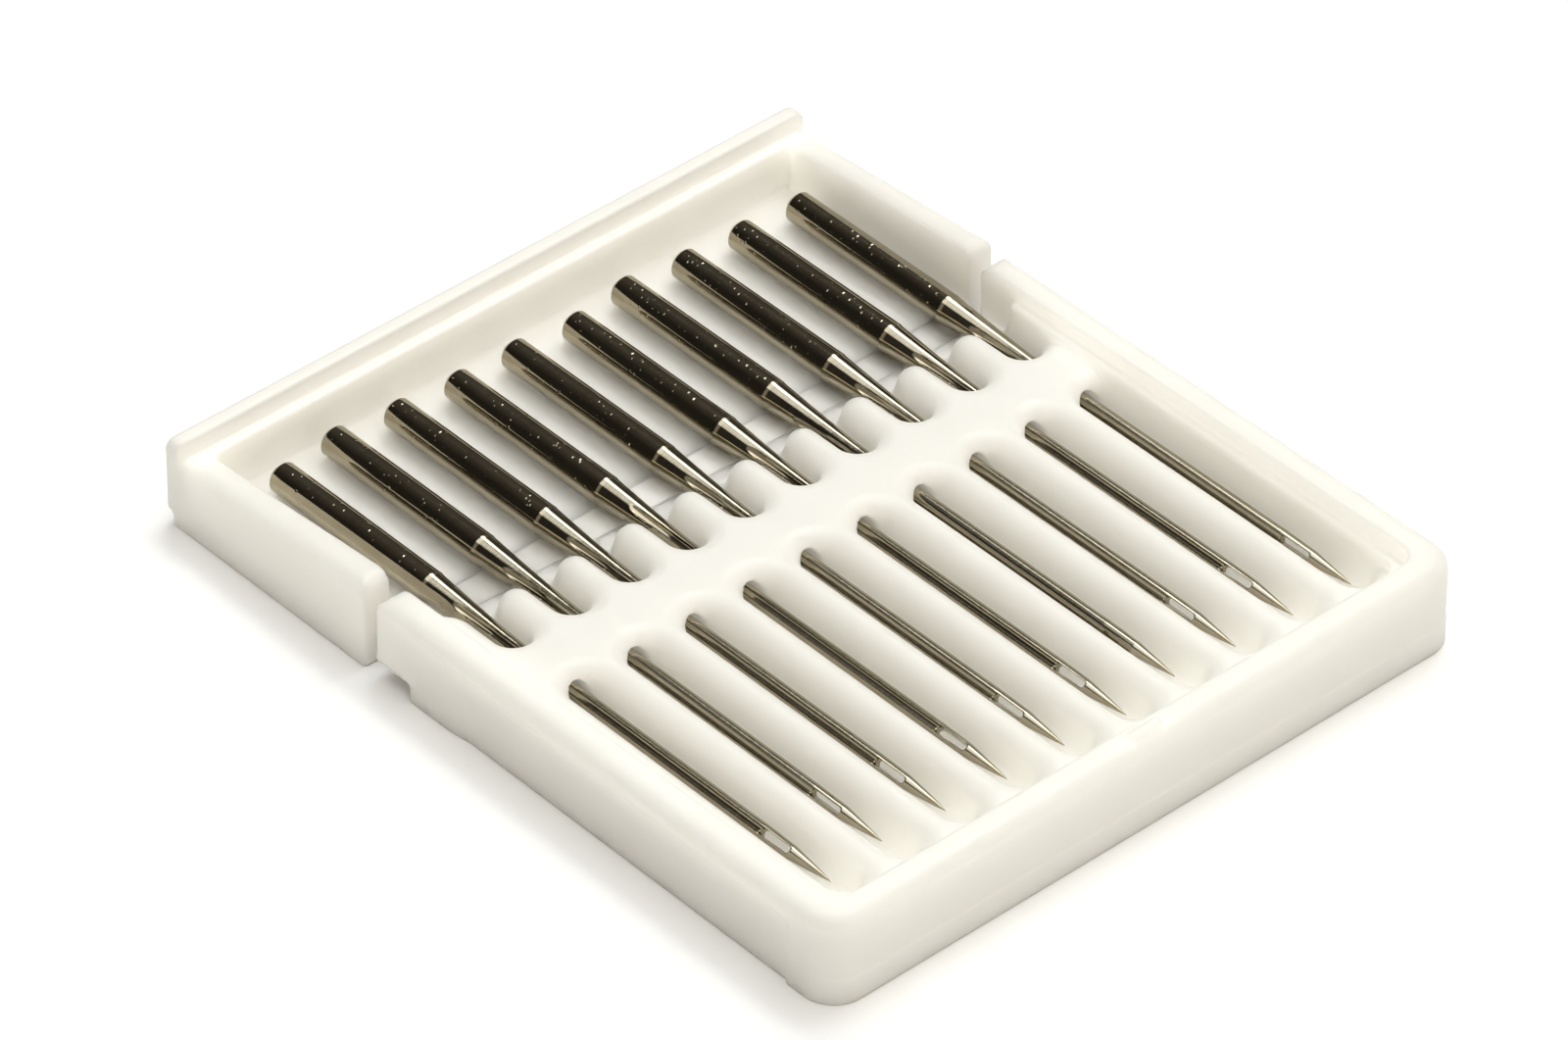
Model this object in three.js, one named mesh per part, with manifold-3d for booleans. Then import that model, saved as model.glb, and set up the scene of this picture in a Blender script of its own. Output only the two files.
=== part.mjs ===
// Ten machine needles lying in an open moulded case of two trays joined by a living hinge.
// Millimetres, +Z up. The needles point along +X. The origin is the middle of the case's
// footprint, on the surface that it stands on.
import * as THREE from 'three';
import { mergeVertices } from 'three/addons/utils/BufferGeometryUtils.js';
import Module from 'manifold-3d';

const wasm = await Module();
wasm.setup();

// Needles, lengths measured from the butt
const NEEDLE_COUNT = 10;
const NEEDLE_PITCH = 3.55;
const SHANK_DIAMETER = 1.62;
const SHANK_LENGTH = 11;
const BUTT_CHAMFER = 0.28;
const SHOULDER_LENGTH = 0.15;
const NECK_DIAMETER = 1.56;
const CONE_LENGTH = 6.7;
const BLADE_DIAMETER = 0.8;
const BUTT_TO_EYE = 33.8;
const EYE_LENGTH = 2;
const EYE_WIDTH = 0.34;
const POINT_LENGTH = 2.7;
const POINT_DIAMETER = 0.72;
const POINT_FULLNESS = 0.85;
const GROOVE_START = 13;
const GROOVE_WIDTH = 0.34;
const GROOVE_DEPTH = 0.28;
const SCARF_LENGTH = 3.4;
const SCARF_DEPTH = 0.2;
const SCARF_OVER_EYE = 0.5;

// How each needle has slipped along its lane, and how far it is rolled from eye-up
const NEEDLE_SLIPS = [0.09, -0.41, -0.04, 0.17, 0.19, 0.5, -0.02, 0.33, 0.44, 0.65];
const NEEDLE_ROLLS = [38, 52, 44, 30, 47, 40, 78, 50, 42, 55];

// Fit of the needles in the case
const REST_CLEARANCE = 0.1;
const BUTT_CLEARANCE = 1.45;
const TIP_CLEARANCE = 1.55;
const TUNNEL_CLEARANCE = 0.25;

// Case walls and floor
const SIDE_WALL = 1.6;
const LANE_MARGIN = 2.115;
const LANE_SHIFT = 0.6;
const FLOOR_TOP = 1.4;
const SKIRT_DEPTH = 0.5;
const SKIRT_WIDTH = 1.5;
const EDGE_ROUND = 0.75;
const FLOOR_FILLET = 0.35;

// Shank tray
const LIP_THICKNESS = 0.8;
const LIP_BOTTOM = 0.5;
const LIP_TOP = 4.85;
const LIP_CORNER = 0.5;
const BUTT_WALL = 0.7;
const SHANK_WALL_LOW = 3.9;
const SHANK_WALL_HIGH = 4.9;

// Living hinge between the trays
const HINGE_PAST_SHOULDER = 0.75;
const HINGE_GAP = 0.8;
const WEB_THICKNESS = 0.3;
const RELIEF_LENGTH = 2.4;
const RELIEF_FLOOR = 0.35;

// Blade tray
const BLADE_WALL_LOW = 4.6;
const BLADE_WALL_HIGH = 4.9;
const END_LAND = 1.6;
const END_WALL = 1.6;
const END_CORNER = 1.8;
const POCKET_CORNER = 1;
const RECESS_CORNER = 0.9;
const GAP_CORNER = 0.2;
const LEDGE_TOP = 3.85;
const LEDGE_WIDTH = 0.5;
const OPEN_FLOOR_LENGTH = 1.93;
const RIDGE_TOP = 3.55;
const CHANNEL_WIDTH = 1.6;
const CHANNEL_LEAN = 15;
const BOWL_RADIUS = 0.6;
const CREST_FLAT = 0.14;
const BRIDGE_FROM_HINGE = 5.45;
const BRIDGE_LENGTH = 3.65;
const SIDE_RECESS = 0.15;
const SIDE_RECESS_TOP = 3.7;
const CORNER_BLOCK_LENGTH = 3;
const FOOT_STEP = 0.12;
const FOOT_HEIGHT = 1.5;
const NUB_LENGTH = 1.9;
const NUB_RADIUS = 0.4;

// Fineness of the round forms
const NEEDLE_SIDES = 16;
const ARC_STEPS = 3;
const ROUND_STEPS = 8;
const POINT_STOPS = [0, 0.35, 0.65, 0.88];

// How far a cut runs on past what it cuts
const CUT_PAST = 4;

// Positions along X, from the outer face of the lip
const NEEDLE_LENGTH = BUTT_TO_EYE + EYE_LENGTH + POINT_LENGTH;
const BUTT_WALL_X = LIP_THICKNESS + BUTT_WALL;
const BUTT_X = BUTT_WALL_X + BUTT_CLEARANCE;
const HINGE_X = BUTT_X + SHANK_LENGTH + HINGE_PAST_SHOULDER;
const SHANK_TRAY_END = HINGE_X - HINGE_GAP / 2;
const BLADE_TRAY_START = HINGE_X + HINGE_GAP / 2;
const CHANNEL_HALF = CHANNEL_WIDTH / 2;
const RIDGE_HALF = NEEDLE_PITCH / 2 - CHANNEL_HALF;
const NOSE_CENTRE = BLADE_TRAY_START + OPEN_FLOOR_LENGTH + RIDGE_HALF;
const BRIDGE_START = BLADE_TRAY_START + BRIDGE_FROM_HINGE;
const BRIDGE_END = BRIDGE_START + BRIDGE_LENGTH;
const CHANNEL_END = BUTT_X + NEEDLE_LENGTH + TIP_CLEARANCE;
const END_WALL_X = CHANNEL_END + END_LAND;
const CASE_LENGTH = END_WALL_X + END_WALL;

// Positions across Y, from the middle of the case, and heights
const LANE_SPAN = (NEEDLE_COUNT - 1) * NEEDLE_PITCH;
const INNER_HALF = LANE_SPAN / 2 + LANE_MARGIN;
const OUTER_HALF = INNER_HALF + SIDE_WALL;
const NEEDLE_HEIGHT = FLOOR_TOP + REST_CLEARANCE + SHANK_DIAMETER / 2;

// The channels' walls lean outwards, and are CHANNEL_HALF from the middle at the needles' height
const LEAN = THREE.MathUtils.degToRad(CHANNEL_LEAN);
const wallAt = (z) => CHANNEL_HALF + Math.tan(LEAN) * (z - NEEDLE_HEIGHT);
const ROUND_SHARE = 1 / Math.cos(LEAN) - Math.tan(LEAN);
const BOWL_CENTRE = wallAt(FLOOR_TOP) - BOWL_RADIUS * ROUND_SHARE;
const CREST_CENTRE = (NEEDLE_PITCH - CREST_FLAT) / 2;
const CREST_RADIUS = (CREST_CENTRE - wallAt(RIDGE_TOP)) / ROUND_SHARE;

const ABOVE = BLADE_WALL_HIGH + CUT_PAST;
const BELOW = -CUT_PAST;

const laneY = (lane) => LANE_SHIFT - LANE_SPAN / 2 + lane * NEEDLE_PITCH;
const lanes = Array.from({ length: NEEDLE_COUNT }, (unused, lane) => lane);

const plastic = (color) => new THREE.MeshStandardMaterial({ color, roughness: 0.42, metalness: 0 });
const plated = () => new THREE.MeshStandardMaterial({ color: 0x8d897c, roughness: 0.24, metalness: 1 });

// Solids

function toSolid(geometry) {
  geometry.deleteAttribute('normal');
  geometry.deleteAttribute('uv');
  const merged = mergeVertices(geometry, 1e-5);
  const corners = merged.index.array;
  const triangles = [];
  for (let i = 0; i < corners.length; i += 3) {
    const [a, b, c] = [corners[i], corners[i + 1], corners[i + 2]];
    if (a !== b && b !== c && c !== a) triangles.push(a, b, c);
  }
  return new wasm.Manifold(new wasm.Mesh({
    numProp: 3,
    vertProperties: Float32Array.from(merged.attributes.position.array),
    triVerts: Uint32Array.from(triangles),
  }));
}

function toMesh(name, solid, material) {
  const { vertProperties, triVerts } = solid.getMesh();
  const geometry = new THREE.BufferGeometry();
  geometry.setAttribute('position', new THREE.BufferAttribute(Float32Array.from(vertProperties), 3));
  geometry.setIndex(new THREE.BufferAttribute(Uint32Array.from(triVerts), 1));
  geometry.computeVertexNormals();
  const mesh = new THREE.Mesh(geometry, material);
  mesh.name = name;
  return mesh;
}

const join = (solids) => solids.reduce((whole, next) => whole.add(next));

function box(x0, x1, y0, y1, z0, z1) {
  const geometry = new THREE.BoxGeometry(x1 - x0, y1 - y0, z1 - z0);
  geometry.translate((x0 + x1) / 2, (y0 + y1) / 2, (z0 + z1) / 2);
  return toSolid(geometry);
}

// A section drawn in Y and Z, drawn out along X
function alongX(section, x0, x1) {
  const geometry = new THREE.ExtrudeGeometry(new THREE.Shape(section), { depth: x1 - x0, bevelEnabled: false });
  geometry.applyMatrix4(new THREE.Matrix4().makeBasis(
    new THREE.Vector3(0, 1, 0),
    new THREE.Vector3(0, 0, 1),
    new THREE.Vector3(1, 0, 0),
  ));
  geometry.translate(x0, 0, 0);
  return toSolid(geometry);
}

// A profile of radius against height, turned about a vertical axis
function turned(profile, x, y) {
  const geometry = new THREE.LatheGeometry(profile, 2 * ROUND_STEPS);
  geometry.rotateX(Math.PI / 2);
  geometry.translate(x, y, 0);
  return toSolid(geometry);
}

// A stack of closed rings with as many points each, capped at both ends
function loft(rings) {
  const sides = rings[0].length;
  const positions = rings.flat().flatMap((point) => [point.x, point.y, point.z]);
  const index = [];
  for (let ring = 0; ring + 1 < rings.length; ring += 1) {
    for (let side = 0; side < sides; side += 1) {
      const next = (side + 1) % sides;
      const low = ring * sides;
      const high = low + sides;
      index.push(low + side, low + next, high + next);
      index.push(low + side, high + next, high + side);
    }
  }
  const top = (rings.length - 1) * sides;
  for (let side = 1; side + 1 < sides; side += 1) {
    index.push(0, side + 1, side);
    index.push(top, top + side, top + side + 1);
  }
  const geometry = new THREE.BufferGeometry();
  geometry.setAttribute('position', new THREE.Float32BufferAttribute(positions, 3));
  geometry.setIndex(index);
  return toSolid(geometry);
}

function arc(cx, cy, radius, from, to, steps = ARC_STEPS) {
  return Array.from({ length: steps + 1 }, (unused, i) => {
    const angle = THREE.MathUtils.degToRad(from + ((to - from) * i) / steps);
    return new THREE.Vector2(cx + radius * Math.cos(angle), cy + radius * Math.sin(angle));
  });
}

// A rectangle in plan, drawn in by inset, with its own corner radius at each end in X
function plan({ x0, x1, half, startCorner, endCorner }, inset) {
  const start = Math.max(startCorner - inset, 0);
  const end = Math.max(endCorner - inset, 0);
  const [left, right, side] = [x0 + inset, x1 - inset, half - inset];
  return [
    ...arc(left + start, -side + start, start, 180, 270),
    ...arc(right - end, -side + end, end, 270, 360),
    ...arc(right - end, side - end, end, 0, 90),
    ...arc(left + start, side - start, start, 90, 180),
  ];
}

// A block on the table whose top slopes along X and whose upper edge is rounded all round
function roundedBlock(outline, bottom, topAt, round) {
  const rings = [plan(outline, 0).map((p) => new THREE.Vector3(p.x, p.y, bottom))];
  for (const corner of arc(round, -round, round, 180, 90)) {
    rings.push(plan(outline, corner.x).map((p) => new THREE.Vector3(p.x, p.y, topAt(p.x) + corner.y)));
  }
  return loft(rings);
}

// An upright block on a plan, from one level to another
const level = (outline, bottom, top) => loft([bottom, top].map((z) => (
  plan(outline, 0).map((p) => new THREE.Vector3(p.x, p.y, z))
)));

// A height that changes evenly along X
const slope = (x0, z0, x1, z1) => (x) => z0 + ((z1 - z0) * (x - x0)) / (x1 - x0);

// A pocket whose floor meets its walls in a small round
function filletedPocket(outline, floor, top, fillet) {
  const rings = arc(fillet, floor + fillet, fillet, 270, 180).map((corner) => (
    plan(outline, corner.x).map((p) => new THREE.Vector3(p.x, p.y, corner.y))
  ));
  rings.push(plan(outline, 0).map((p) => new THREE.Vector3(p.x, p.y, top)));
  return loft(rings);
}

// Lanes of the blade tray

// Half of a channel's section, from its bowl up to the crest beside it
function channelSide() {
  return [
    ...arc(BOWL_CENTRE, FLOOR_TOP + BOWL_RADIUS, BOWL_RADIUS, 270, 360 - CHANNEL_LEAN),
    ...arc(CREST_CENTRE, RIDGE_TOP - CREST_RADIUS, CREST_RADIUS, 180 - CHANNEL_LEAN, 90),
  ];
}

// A channel whose section runs on round both of its ends
function channel(x0, x1, y) {
  const outline = { x0, x1, half: CHANNEL_HALF, startCorner: CHANNEL_HALF, endCorner: CHANNEL_HALF };
  const side = channelSide();
  side.push(new THREE.Vector2(CREST_CENTRE, ABOVE));
  return loft(side.map((p) => (
    plan(outline, CHANNEL_HALF - p.x).map((q) => new THREE.Vector3(q.x, q.y + y, p.y))
  )));
}

// The round nose in which a ridge between two lanes ends
function ridgeNose(y) {
  const side = channelSide().map((p) => new THREE.Vector2(NEEDLE_PITCH / 2 - p.x, p.y));
  const foot = new THREE.Vector2(side[0].x, FLOOR_TOP - WEB_THICKNESS / 2);
  return turned([new THREE.Vector2(0, foot.y), foot, ...side, new THREE.Vector2(0, RIDGE_TOP)], NOSE_CENTRE, y);
}

// The round nose in which the ledge along a side wall ends, beside a lane that far from the wall
function ledgeNose(side, distance) {
  const profile = channelSide().map((p) => new THREE.Vector2(Math.max(distance - p.x, LEDGE_WIDTH), p.y));
  const foot = new THREE.Vector2(profile[0].x, FLOOR_TOP - WEB_THICKNESS / 2);
  const top = [RIDGE_TOP, LEDGE_TOP].map((z) => new THREE.Vector2(LEDGE_WIDTH, z));
  const rings = [new THREE.Vector2(0, foot.y), foot, ...profile, ...top, new THREE.Vector2(0, LEDGE_TOP)];
  return turned(rings, NOSE_CENTRE, side * INNER_HALF);
}

// The tunnel that a blade takes under the bridge, open below down to the given height
function tunnel(x0, x1, y, bottom) {
  const half = BLADE_DIAMETER / 2 + TUNNEL_CLEARANCE;
  const section = [
    new THREE.Vector2(half, bottom),
    ...arc(0, NEEDLE_HEIGHT, half, 0, 180, 2 * ARC_STEPS),
    new THREE.Vector2(-half, bottom),
  ];
  return alongX(section.map((p) => new THREE.Vector2(p.x + y, p.y)), x0, x1);
}

function bladeTray() {
  const topAt = slope(BLADE_TRAY_START, BLADE_WALL_LOW, CASE_LENGTH, BLADE_WALL_HIGH);
  const outside = {
    x0: BLADE_TRAY_START,
    x1: CASE_LENGTH - FOOT_STEP,
    half: OUTER_HALF,
    startCorner: GAP_CORNER,
    endCorner: END_CORNER,
  };
  const foot = {
    ...outside,
    x0: CASE_LENGTH - CORNER_BLOCK_LENGTH,
    x1: CASE_LENGTH,
    startCorner: 0,
  };
  const inside = {
    x0: BLADE_TRAY_START - HINGE_GAP,
    x1: END_WALL_X,
    half: INNER_HALF,
    startCorner: 0,
    endCorner: POCKET_CORNER,
  };
  const lanesPocket = {
    ...inside,
    x1: CHANNEL_END + CREST_RADIUS,
    half: INNER_HALF - LEDGE_WIDTH,
    endCorner: CREST_RADIUS,
  };
  const recessBelow = {
    x0: BLADE_TRAY_START + RELIEF_LENGTH + SKIRT_WIDTH,
    x1: CASE_LENGTH - FOOT_STEP - SKIRT_WIDTH,
    half: OUTER_HALF - SKIRT_WIDTH,
    startCorner: 0,
    endCorner: RECESS_CORNER,
  };

  let tray = roundedBlock(outside, 0, topAt, EDGE_ROUND);
  tray = tray.add(roundedBlock(foot, 0, () => FOOT_HEIGHT, FOOT_STEP));

  // Rim, ledge and the pocket that holds the lanes
  tray = tray.subtract(level(inside, LEDGE_TOP, ABOVE));
  tray = tray.subtract(level(lanesPocket, RIDGE_TOP, ABOVE));

  // The lanes, cut no wider than the ledges allow
  const room = level({ ...lanesPocket, x1: END_WALL_X - LEDGE_WIDTH }, BELOW, ABOVE + CUT_PAST);
  const cuts = lanes.flatMap((lane) => [
    channel(BLADE_TRAY_START - CHANNEL_WIDTH, BRIDGE_START, laneY(lane)),
    channel(BRIDGE_END, CHANNEL_END, laneY(lane)),
  ]);
  tray = tray.subtract(join(cuts).intersect(room));

  // The open floor beside the hinge, into which the ridges and ledges end in noses
  const open = box(inside.x0, NOSE_CENTRE, -INNER_HALF, INNER_HALF, FLOOR_TOP, ABOVE);
  const noses = lanes.slice(1).map((lane) => ridgeNose(laneY(lane) - NEEDLE_PITCH / 2));
  noses.push(ledgeNose(-1, INNER_HALF + laneY(0)), ledgeNose(1, INNER_HALF - laneY(NEEDLE_COUNT - 1)));
  tray = tray.subtract(open.subtract(join(noses)));

  // The tunnels under the bridge, and the windows below them
  for (const lane of lanes) {
    const y = laneY(lane);
    tray = tray.subtract(tunnel(BRIDGE_START - CHANNEL_HALF, BRIDGE_END + CHANNEL_HALF, y, FLOOR_TOP));
    tray = tray.subtract(tunnel(BRIDGE_START, BRIDGE_END, y, BELOW));
  }

  // The underside: a skirt round a shallow recess, and the relief that the folded tray turns in
  tray = tray.subtract(level(recessBelow, BELOW, SKIRT_DEPTH));
  tray = tray.subtract(box(
    BLADE_TRAY_START - HINGE_GAP,
    BLADE_TRAY_START + RELIEF_LENGTH,
    -OUTER_HALF - CUT_PAST,
    OUTER_HALF + CUT_PAST,
    BELOW,
    FLOOR_TOP - RELIEF_FLOOR,
  ));

  // Shallow recesses along both outer sides
  for (const side of [-1, 1]) {
    const faces = [side * (OUTER_HALF - SIDE_RECESS), side * (OUTER_HALF + CUT_PAST)];
    const [near, far] = [Math.min(...faces), Math.max(...faces)];
    const end = CASE_LENGTH - CORNER_BLOCK_LENGTH;
    tray = tray.subtract(box(BRIDGE_START, end, near, far, BELOW, SIDE_RECESS_TOP));
  }

  // The snap nub on the end wall
  const nub = new THREE.CylinderGeometry(NUB_RADIUS, NUB_RADIUS, NUB_LENGTH, 2 * ROUND_STEPS);
  nub.translate(END_WALL_X + END_WALL / 2, 0, topAt(END_WALL_X));
  return tray.add(toSolid(nub));
}

function shankTray() {
  const topAt = slope(LIP_THICKNESS, SHANK_WALL_LOW, SHANK_TRAY_END, SHANK_WALL_HIGH);
  const outside = {
    x0: LIP_THICKNESS / 2,
    x1: SHANK_TRAY_END,
    half: OUTER_HALF,
    startCorner: 0,
    endCorner: GAP_CORNER,
  };
  const inside = {
    x0: BUTT_WALL_X,
    x1: SHANK_TRAY_END + HINGE_GAP + FLOOR_FILLET,
    half: INNER_HALF,
    startCorner: FLOOR_FILLET,
    endCorner: 0,
  };
  const below = {
    x0: LIP_THICKNESS + SKIRT_WIDTH,
    x1: SHANK_TRAY_END - SKIRT_WIDTH,
    half: OUTER_HALF - SKIRT_WIDTH,
    startCorner: 0,
    endCorner: 0,
  };
  let tray = roundedBlock(outside, 0, topAt, EDGE_ROUND);

  // Only what lies in the lip's own outline reaches into its thickness
  const wide = OUTER_HALF + CUT_PAST;
  const aroundLip = box(-CUT_PAST, LIP_THICKNESS, -wide, wide, BELOW, ABOVE);
  tray = tray.subtract(aroundLip.subtract(endLip(-2 * CUT_PAST, CUT_PAST)));
  tray = tray.subtract(filletedPocket(inside, FLOOR_TOP, ABOVE, FLOOR_FILLET));
  tray = tray.subtract(level(below, BELOW, SKIRT_DEPTH));
  return tray.add(endLip(0, LIP_THICKNESS));
}

// The plate across the butt end, a finger hold that stands clear of the table
function endLip(x0, x1) {
  const [side, low, high] = [OUTER_HALF - LIP_CORNER, LIP_BOTTOM + LIP_CORNER, LIP_TOP - LIP_CORNER];
  const section = [
    ...arc(-side, low, LIP_CORNER, 180, 270),
    ...arc(side, low, LIP_CORNER, 270, 360),
    ...arc(side, high, LIP_CORNER, 0, 90),
    ...arc(-side, high, LIP_CORNER, 90, 180),
  ];
  return alongX(section, x0, x1);
}

function hingeWeb() {
  return box(SHANK_TRAY_END, BLADE_TRAY_START, -INNER_HALF, INNER_HALF, FLOOR_TOP - WEB_THICKNESS, FLOOR_TOP);
}

// Needle, along X from its butt, with its eye through Z and its long groove above

function needleBlank() {
  const shank = SHANK_DIAMETER / 2;
  const neck = NECK_DIAMETER / 2;
  const blade = BLADE_DIAMETER / 2;
  const coneStart = SHANK_LENGTH + SHOULDER_LENGTH;
  const pointStart = BUTT_TO_EYE + EYE_LENGTH;
  const point = POINT_STOPS.map((stop) => new THREE.Vector2(
    (POINT_DIAMETER / 2) * (1 - stop) ** POINT_FULLNESS,
    pointStart + POINT_LENGTH * stop,
  ));
  const geometry = new THREE.LatheGeometry([
    new THREE.Vector2(0, 0),
    new THREE.Vector2(shank - BUTT_CHAMFER, 0),
    new THREE.Vector2(shank, BUTT_CHAMFER),
    new THREE.Vector2(shank, SHANK_LENGTH),
    new THREE.Vector2(neck, coneStart),
    new THREE.Vector2(blade, coneStart + CONE_LENGTH),
    new THREE.Vector2(blade, BUTT_TO_EYE),
    ...point,
    new THREE.Vector2(0, NEEDLE_LENGTH),
  ], NEEDLE_SIDES);
  geometry.rotateZ(-Math.PI / 2);
  return toSolid(geometry);
}

function needle() {
  const blade = BLADE_DIAMETER / 2;
  const grooveFloor = blade - GROOVE_DEPTH;
  const groove = alongX([
    ...arc(0, grooveFloor + GROOVE_WIDTH / 2, GROOVE_WIDTH / 2, 180, 360),
    new THREE.Vector2(GROOVE_WIDTH / 2, SHANK_DIAMETER),
    new THREE.Vector2(-GROOVE_WIDTH / 2, SHANK_DIAMETER),
  ], GROOVE_START, BUTT_TO_EYE + EYE_LENGTH / 2);

  const eyeHalf = EYE_WIDTH / 2;
  const eye = new THREE.ExtrudeGeometry(new THREE.Shape([
    ...arc(BUTT_TO_EYE + eyeHalf, 0, eyeHalf, 90, 270),
    ...arc(BUTT_TO_EYE + EYE_LENGTH - eyeHalf, 0, eyeHalf, 270, 450),
  ]), { depth: SHANK_DIAMETER, bevelEnabled: false });
  eye.translate(0, 0, -SHANK_DIAMETER / 2);

  // The scarf is a shallow bow cut across the back of the blade over the eye
  const bow = (SCARF_LENGTH ** 2 / 4 + SCARF_DEPTH ** 2) / (2 * SCARF_DEPTH);
  const halfAngle = THREE.MathUtils.radToDeg(Math.asin(SCARF_LENGTH / 2 / bow));
  const middle = BUTT_TO_EYE + SCARF_OVER_EYE - SCARF_LENGTH / 2;
  const scarf = new THREE.ExtrudeGeometry(new THREE.Shape([
    ...arc(middle, -blade + SCARF_DEPTH - bow, bow, 90 - halfAngle, 90 + halfAngle, 2 * ARC_STEPS),
    new THREE.Vector2(middle - SCARF_LENGTH / 2, -SHANK_DIAMETER),
    new THREE.Vector2(middle + SCARF_LENGTH / 2, -SHANK_DIAMETER),
  ]), { depth: SHANK_DIAMETER, bevelEnabled: false });
  scarf.translate(0, 0, -SHANK_DIAMETER / 2);
  scarf.rotateX(Math.PI / 2);

  return needleBlank().subtract(groove).subtract(toSolid(eye)).subtract(toSolid(scarf));
}

const needleCase = new THREE.Group();
needleCase.position.x = -CASE_LENGTH / 2;

needleCase.add(toMesh('blade_tray', bladeTray(), plastic(0xf5f3ea)));
needleCase.add(toMesh('shank_tray', shankTray(), plastic(0xf3f0e6)));
needleCase.add(toMesh('hinge_web', hingeWeb(), plastic(0xefece2)));

const needleSolid = needle();
for (const lane of lanes) {
  const name = `needle_${String(lane + 1).padStart(2, '0')}`;
  const mesh = toMesh(name, needleSolid, plated());
  const slip = NEEDLE_SLIPS[lane % NEEDLE_SLIPS.length];
  const roll = NEEDLE_ROLLS[lane % NEEDLE_ROLLS.length];
  mesh.position.set(BUTT_X + slip, laneY(lane), NEEDLE_HEIGHT);
  mesh.rotation.x = THREE.MathUtils.degToRad(roll);
  needleCase.add(mesh);
}

const model = new THREE.Group();
model.add(needleCase);

export default model;
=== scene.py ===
"""Machine needles in an open moulded case, dressed and lit for a studio picture.

Lengths inside the classes are millimetres, in the frame's own axes: +X towards the needle
points, +Y across the lanes and +Z up. Meshes are handed to Blender in metres.
"""

import logging
import math
from dataclasses import dataclass, field
from enum import Enum
from typing import Callable, ClassVar

import bpy
import numpy as np
from mathutils import Matrix, Vector


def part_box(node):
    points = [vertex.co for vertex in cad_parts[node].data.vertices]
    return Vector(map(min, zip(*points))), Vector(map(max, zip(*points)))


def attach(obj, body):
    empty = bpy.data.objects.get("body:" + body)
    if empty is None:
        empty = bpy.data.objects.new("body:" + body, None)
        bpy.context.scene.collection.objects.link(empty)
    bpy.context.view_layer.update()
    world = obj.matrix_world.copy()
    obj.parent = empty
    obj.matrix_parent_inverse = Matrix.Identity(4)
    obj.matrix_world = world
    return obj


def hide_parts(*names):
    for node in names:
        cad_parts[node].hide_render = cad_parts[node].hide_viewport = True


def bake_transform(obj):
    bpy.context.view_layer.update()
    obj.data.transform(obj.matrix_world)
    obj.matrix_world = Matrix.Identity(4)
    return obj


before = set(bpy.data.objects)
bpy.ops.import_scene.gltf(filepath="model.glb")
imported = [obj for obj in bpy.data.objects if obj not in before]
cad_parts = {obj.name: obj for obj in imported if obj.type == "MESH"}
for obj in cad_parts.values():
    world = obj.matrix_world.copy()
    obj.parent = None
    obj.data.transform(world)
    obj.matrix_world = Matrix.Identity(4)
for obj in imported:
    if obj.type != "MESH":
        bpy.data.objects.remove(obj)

LOG = logging.getLogger("needle_case")
MM = 0.001
Array = np.ndarray
Distance = Callable[[Array, Array, Array], Array]
Triple = tuple[float, float, float]
Material = bpy.types.Material
Piece = bpy.types.Object
Socket = bpy.types.NodeSocket
Tree = bpy.types.NodeTree


class Slot(Enum):
    """The record's material slots."""

    CASE = "case"
    NEEDLE = "needle"


class Body(Enum):
    """The frame's bodies that carry the case."""

    BLADE_SIDE = "blade_side"
    SHANK_SIDE = "shank_side"


# Distance fields: negative inside the solid, in millimetres


def round_max(a: Array, b: Array, radius: float) -> Array:
    """What two solids share, with the edge where they meet rounded off.

    Args:
        a: Distance to the first solid.
        b: Distance to the second solid.
        radius: Radius of the rounded edge.

    Returns:
        Distance to the shared solid.
    """
    corner = np.hypot(np.maximum(a + radius, 0.0), np.maximum(b + radius, 0.0))
    return np.minimum(np.maximum(a, b), -radius) + corner


def round_min(a: Array, b: Array, radius: float) -> Array:
    """Two solids joined, with a fillet of the given radius where they meet."""
    return -round_max(-a, -b, radius)


def rectangle(x: Array, y: Array, low: float, high: float, half: float,
              start: float, end: float) -> Array:
    """Distance to an upright block whose plan is a rectangle with rounded corners.

    Args:
        x: Positions along the case.
        y: Positions across the case.
        low: Where the rectangle starts along X.
        high: Where it ends along X.
        half: Half of its width across Y.
        start: Corner radius at its start.
        end: Corner radius at its end.

    Returns:
        Distance in plan, negative inside.
    """
    middle = (low + high) / 2
    corner = np.where(x > middle, end, start)
    across = np.abs(y) - half + corner
    along = np.abs(x - middle) - (high - low) / 2 + corner
    outside = np.hypot(np.maximum(across, 0.0), np.maximum(along, 0.0))
    return outside + np.minimum(np.maximum(across, along), 0.0) - corner


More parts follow.
